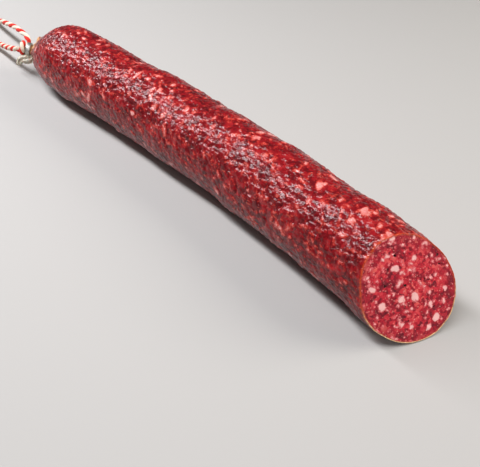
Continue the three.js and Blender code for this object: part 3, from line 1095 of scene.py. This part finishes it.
def dress(material, *pieces):
    """Gives the pieces their finish."""
    for piece in pieces:
        piece.data.materials.append(material)
    print("the finish", material.name, "has", len(material.node_tree.nodes), "nodes")


# %% [markdown]
# Finish of the casing
#
# Dry casing is a clear skin over red mince, so its colour is the mince's: crimson with maroon
# clouds, grain by grain, with paler specks, and streaks that the filling has drawn out along the
# body. A piece of fat shows pale pink in the middle and orange-red at its outline, where it is
# thin and the red shines through. Where the casing is bare it is tan, and its cut edge goes from
# orange-red above to ivory below. A clear coat gives it the gleam. Its creases are domes of two
# sizes in the bump, which the coat takes too, and they break the gleam into sparks.

# %% The mince under the casing
# Its colours from the dark clouds to the pale ones, and the size of its grains in mm
CASING_REDS = [
    (0.26, "50060d"),
    (0.42, "640810"),
    (0.54, "780b13"),
    (0.68, "90131a"),
    (0.82, "a92628"),
]
CASING_GRAIN = 2.6
SPECK_RED = "c24236"
SPECK_SHARE = 0.4
STREAK_RED = "cf5844"
STREAK_SHARE = 0.45
DRAWN_OUT = (0.32, 1.0, 1.0)


def mince_under_casing(tree, spots):
    """Mince, then round specks over it, then specks drawn out along the body."""
    colour, moved = mince_colour(tree, spots, CASING_REDS, CASING_GRAIN)
    small = scaled(tree, specks(tree, moved, 1.9, 0.8), SPECK_SHARE)
    colour = blend(tree, small, colour, rgb(SPECK_RED))
    stretched = add(tree, "Mapping", {"Vector": moved, "Scale": DRAWN_OUT}).outputs[0]
    streaks = scaled(tree, specks(tree, stretched, 1.7, 0.6), STREAK_SHARE)
    return blend(tree, streaks, colour, rgb(STREAK_RED))


print("the grains of the mince are", CASING_GRAIN, "mm across")

# %% The fat under the casing
# Painted shade: a darker red just outside each piece of fat
FAT_PAINTED_SHADE = "84101a"
FAT_OUTLINE = "b93429"
FAT_MIDDLE = "df9c96"
FAT_FRAYED = 2.2


def fat_under_casing(tree, spots, colour):
    """Fat laid over a colour by how deep a spot lies in its piece: painted shade just outside, an
    orange-red outline and a pale middle, which is paler in some stretches than in others."""
    frayed = calc(tree, "SUBTRACT", grain(tree, spots, 0.9, 4.0), 0.5)
    depth = scaled(tree, frayed, FAT_FRAYED, field(tree, "fat"))
    # Painted shade: a ring of darker red just outside each piece of fat
    painted_shade = scaled(tree, rising(tree, depth, -0.9, -0.1), 0.35)
    colour = blend(tree, painted_shade, colour, rgb(FAT_PAINTED_SHADE))
    colour = blend(tree, rising(tree, depth, -0.35, 0.4), colour, rgb(FAT_OUTLINE))
    paleness = rising(tree, grain(tree, spots, 0.13, 2.0), 0.32, 0.62)
    core = calc(tree, "MULTIPLY", rising(tree, depth, 0.15, 1.2), scaled(tree, paleness, 0.6, 0.4))
    return blend(tree, core, colour, rgb(FAT_MIDDLE))


print("the middle of a piece of fat in linear numbers:", np.round(rgb(FAT_MIDDLE), 3))

# %% The bare skin and the cut edge
BARE_SKIN = ("c27a42", "efcb9c")
RIM_ABOVE = "c0421f"
RIM_BELOW = "dbb283"
RIM_HEIGHTS = (8.0, 36.0)


def bare_skin(tree, spots, colour):
    """Tan skin laid over a colour where the dry field says so."""
    darker, paler = BARE_SKIN
    tan = blend(tree, grain(tree, spots, 0.8, 4.0), rgb(darker), rgb(paler))
    return blend(tree, field(tree, "dry"), colour, tan)


def cut_edge(tree, spots, colour):
    """The rim laid over a colour in patches. Its height above the table and some noise together
    choose between the colour above and the one below."""
    height_of = add(tree, "SeparateXYZ", {0: spots}).outputs["Z"]
    low_down = calc(tree, "SUBTRACT", 1.0, rising(tree, height_of, *RIM_HEIGHTS))
    beaded = scaled(tree, grain(tree, spots, 0.5, 3.0), 0.8, scaled(tree, low_down, 0.8, -0.4))
    edge = blend(tree, rising(tree, beaded, 0.2, 0.75), rgb(RIM_ABOVE), rgb(RIM_BELOW))
    patchy = rising(tree, grain(tree, spots, 0.7, 3.0), 0.34, 0.56)
    at_rim = calc(tree, "MULTIPLY", field(tree, "rim"), scaled(tree, patchy, 0.6, 0.4))
    return blend(tree, at_rim, colour, edge)


print("the rim turns from ivory to orange-red between", RIM_HEIGHTS, "mm above the table")

# %% Make the casing's finish
SMALL_PUCKERS = 2.0
LARGE_PUCKERS = 4.4
SMALL_PUCKER_SHARE = 0.26
CREASE_DEPTH = 1.15
CASING_GLOSS = {"Specular IOR Level": 0.08, "Coat Weight": 0.68, "Coat Roughness": 0.13}


def casing_finish():
    """Mince, fat, bare skin and rim, each laid over the one before, under a creased clear coat."""
    material, tree, shader = new_finish("casing", CASING_GLOSS)
    spots = millimetres(tree)
    colour = fat_under_casing(tree, spots, mince_under_casing(tree, spots))
    colour = cut_edge(tree, spots, bare_skin(tree, spots, colour))
    cover(tree, shader, colour, scaled(tree, grain(tree, spots, 0.6, 4.0), 0.24, 0.3))
    mild = wandering(tree, spots, 0.5, 1.2)
    small = puckers(tree, mild, SMALL_PUCKERS)
    height = scaled(tree, small, SMALL_PUCKER_SHARE, puckers(tree, mild, LARGE_PUCKERS))
    height = scaled(tree, grain(tree, spots, 0.9, 2.0, 0.5), 0.1, height)
    emboss(tree, height, CREASE_DEPTH, shader)
    return material


dress(casing_finish(), casing)

# %% [markdown]
# Finish of the cut meat
#
# Freshly cut, the mince is rose-crimson, brighter towards the middle and purple-brown where it has
# dried under the casing. The diced fat is pale pink with soft outlines, small shreds of it lie
# everywhere, and the tiny air holes carry painted shade: they are coloured almost black. The
# surface is moist but not glossy, so its coat is thin.

# %% Make the cut meat's finish
# Colours of the mince from the dark clouds to the pale ones, and the size of its grains in mm
CUT_REDS = [
    (0.26, "640e1e"),
    (0.42, "921426"),
    (0.52, "b51c2d"),
    (0.62, "cd303d"),
    (0.8, "e4665d"),
]
CUT_GRAIN = 1.7
CUT_DRIED = "741626"
CUT_SHREDS = "ea9a90"
CUT_FAT_OUTLINE = "d25a60"
CUT_FAT_MIDDLE = "f0b9b4"
# Painted shade: the air holes are coloured almost black
CUT_HOLE_SHADE = "1c0508"
CUT_BESIDE_RIM = "b0442c"
CUT_FRAYED = 1.5
CUT_GLOSS = {"Specular IOR Level": 0.1, "Coat Weight": 0.22, "Coat Roughness": 0.16}


def cut_finish():
    """Mince that darkens towards the rim, then shreds, pieces of fat, painted shade in the air holes
    and a stain beside the rim, each laid over the one before."""
    material, tree, shader = new_finish("cut_meat", CUT_GLOSS)
    spots = millimetres(tree)
    colour, moved = mince_colour(tree, spots, CUT_REDS, CUT_GRAIN)
    from_edge = field(tree, "from_rim")
    dried = calc(tree, "SUBTRACT", 1.0, rising(tree, from_edge, 1.0, 9.0))
    colour = blend(tree, scaled(tree, dried, 0.42), colour, rgb(CUT_DRIED))
    shreds = scaled(tree, specks(tree, moved, 1.3, 1.0), 0.5)
    colour = blend(tree, shreds, colour, rgb(CUT_SHREDS))
    frayed = calc(tree, "SUBTRACT", grain(tree, spots, 1.4, 4.0), 0.5)
    depth = scaled(tree, frayed, CUT_FRAYED, field(tree, "fat"))
    colour = blend(tree, rising(tree, depth, -0.35, 0.2), colour, rgb(CUT_FAT_OUTLINE))
    colour = blend(tree, rising(tree, depth, 0.05, 0.7), colour, rgb(CUT_FAT_MIDDLE))
    # Painted shade in the air holes, which are coloured almost black
    colour = blend(tree, rising(tree, field(tree, "hole"), -0.1, 0.12), colour, rgb(CUT_HOLE_SHADE))
    beside_rim = calc(tree, "SUBTRACT", 1.0, rising(tree, from_edge, 0.1, 0.9))
    colour = blend(tree, scaled(tree, beside_rim, 0.6), colour, rgb(CUT_BESIDE_RIM))
    fine = grain(tree, spots, 1.2, 4.0)
    cover(tree, shader, colour, scaled(tree, fine, 0.35, 0.3))
    emboss(tree, fine, 0.5, shader)
    return material


dress(cut_finish(), cut_meat)

# %% [markdown]
# Finish of the clip
#
# Pressed aluminium is bright grey with faint brush marks, and dull where the tool has gripped it.
# It is a metal, so its colour sits in its reflections. Fine brushing could come from a gloss that
# is stronger one way, but on so small a piece a streaky bump does as well.

# %% Make the clip's finish
CLIP_GREYS = [(0.3, "8f8c84"), (0.7, "cfcdc7")]
BRUSHED = (0.3, 2.5, 2.5)


def clip_finish():
    """Metal that is paler and rougher where it is worn, with faint streaks drawn out along X."""
    material, tree, shader = new_finish("clip", {"Metallic": 1.0})
    worn = grain(tree, millimetres(tree), 0.7, 4.0)
    cover(tree, shader, colours(tree, worn, CLIP_GREYS), scaled(tree, worn, 0.2, 0.4))
    emboss(tree, grain(tree, millimetres(tree, BRUSHED), 1.4, 4.0), 0.06, shader)
    return material


dress(clip_finish(), clip)

# %% [markdown]
# Finish of the casing tail
#
# Bare casing without meat behind it is cream-grey in clouds, and lets some light through. It
# could be a see-through skin, but folded over itself it is thick, so light that spreads under the
# surface is closer.

# %% Make the tail's finish
TAIL_GREYS = [(0.3, "857a68"), (0.5, "b5ab98"), (0.7, "dfd6c5")]
TAIL_GLOW = {"Subsurface Weight": 0.2, "Subsurface Scale": 0.001, "Coat Weight": 0.05}


def tail_finish():
    """Clouds of cream-grey, rougher where they are paler, with a fine bump."""
    material, tree, shader = new_finish("casing_tail", TAIL_GLOW)
    spots = millimetres(tree)
    tone = grain(tree, spots, 0.5, 4.0)
    cover(tree, shader, colours(tree, tone, TAIL_GREYS), scaled(tree, tone, 0.3, 0.3))
    emboss(tree, grain(tree, spots, 1.2, 3.0), 0.12, shader)
    return material


dress(tail_finish(), tail)

# %% [markdown]
# Finish of the twine
#
# Cotton has no gloss and a soft bright edge, which sheen gives. The ply field is above zero on the
# red ply and below zero on the cream one, so one sharp step colours both, and the fibre field
# paints shade between the yarns' ridges, making it a little darker there.

# %% Make the twine's finish
TWINE_REDS = ("b8150b", "e82f1a")
TWINE_CREAMS = ("cdbda4", "fbf3e0")
# Painted shade between the yarns' ridges
YARN_GROOVE_SHADE = "5a2418"
COTTON = {"Roughness": 0.85, "Sheen Weight": 0.1, "Specular IOR Level": 0.25}


def twine_finish():
    """Cream and red by the ply field, each mottled by the same fuzz, with painted shade in dark lines
    by the fibre field."""
    material, tree, shader = new_finish("twine", COTTON)
    fuzz = grain(tree, millimetres(tree), 3.0, 4.0)
    red, cream = (
        blend(tree, fuzz, rgb(darker), rgb(paler)) for darker, paler in (TWINE_REDS, TWINE_CREAMS)
    )
    colour = blend(tree, rising(tree, field(tree, "ply"), -0.03, 0.03), cream, red)
    # Painted shade: a little darker between the yarns' ridges
    between = scaled(tree, rising(tree, field(tree, "fibre"), -1.0, 0.2), -0.3, 0.3)
    cover(tree, shader, blend(tree, between, colour, rgb(YARN_GROOVE_SHADE)))
    emboss(tree, fuzz, 0.12, shader)
    return material


dress(twine_finish(), twine_loop, twine_turns)

# %% [markdown]
# The floor
#
# A plain pale floor shows the object without telling a story of its own. It lies a hair below the
# sausage, so that the two never share a plane.

# %% Make the floor
FLOOR_HALF = 3.0
FLOOR_GAP = 0.0002
FLOOR_PAINT = {"Base Color": rgb("aeadaa"), "Roughness": 0.7, "Specular IOR Level": 0.2}

corners = [(-1, -1), (1, -1), (1, 1), (-1, 1)]
floor_points = [(FLOOR_HALF * x, FLOOR_HALF * y, -FLOOR_GAP) for x, y in corners]
floor_mesh = bpy.data.meshes.new("floor")
floor_mesh.from_pydata(floor_points, [], [(0, 1, 2, 3)])
floor = bpy.data.objects.new("floor", floor_mesh)
bpy.context.scene.collection.objects.link(floor)
dress(new_finish("floor", FLOOR_PAINT)[0], floor)

# %% [markdown]
# The light
#
# The long gleam on the casing comes from a strip light that hangs along the sausage a little to
# the near side. It is narrow, because a broad one would lay a white veil over the dark red. A
# large warm panel behind the sausage lights the far flank, a small one beyond the cut lights the
# meat, and the near flank falls off into shade.

# %% Hang the lights
# Name, place and target in m, breadth and length in m, power in watts, colour
LIGHTS = [
    ("gleam_strip", (-0.35, -0.17, 0.62), (-0.15, 0, 0), 0.11, 1.3, 10.5, (0.97, 0.96, 1.0)),
    ("warm_panel", (0.75, 0.8, 0.75), (0.1, 0, 0.02), 0.7, 0.9, 13.5, (1.0, 0.94, 0.87)),
    ("cut_fill", (1.2, -0.35, 0.6), (0.1, 0, 0.02), 0.5, 0.5, 4, (1.0, 0.97, 0.95)),
]
STUDIO_COLOUR = (0.9, 0.93, 1.0, 1)
STUDIO_STRENGTH = 0.07


def area_light(name, spot, target, breadth, length, power, colour):
    """A soft rectangular light at a spot, turned to face a target, with its length along X."""
    data = bpy.data.lights.new(name, "AREA")
    data.shape = "RECTANGLE"
    data.size = breadth
    data.size_y = length
    data.energy = power
    data.color = colour
    light = bpy.data.objects.new(name, data)
    away = unit(np.subtract(spot, target))
    sideways = unit(np.cross((1.0, 0.0, 0.0), away))
    light.location = spot
    light.rotation_euler = Matrix((sideways, np.cross(away, sideways), away)).transposed().to_euler()
    bpy.context.scene.collection.objects.link(light)


for light_row in LIGHTS:
    area_light(*light_row)
world = bpy.data.worlds.new("studio")
world.use_nodes = True
world.node_tree.nodes["Background"].inputs["Color"].default_value = STUDIO_COLOUR
world.node_tree.nodes["Background"].inputs["Strength"].default_value = STUDIO_STRENGTH
bpy.context.scene.world = world
bpy.context.scene.view_settings.view_transform = "Standard"
print("lights:", [light_row[0] for light_row in LIGHTS])

# %% [markdown]
# What every piece rides on
#
# Nothing on a sausage moves, so all pieces ride on the one body.

slots = {
    casing: "casing",
    cut_meat: "meat",
    clip: "clip",
    tail: "casing",
    twine_loop: "twine",
    twine_turns: "twine",
}
for piece, slot in slots.items():
    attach(piece, "root")
print("pieces:", [piece.name for piece in slots])
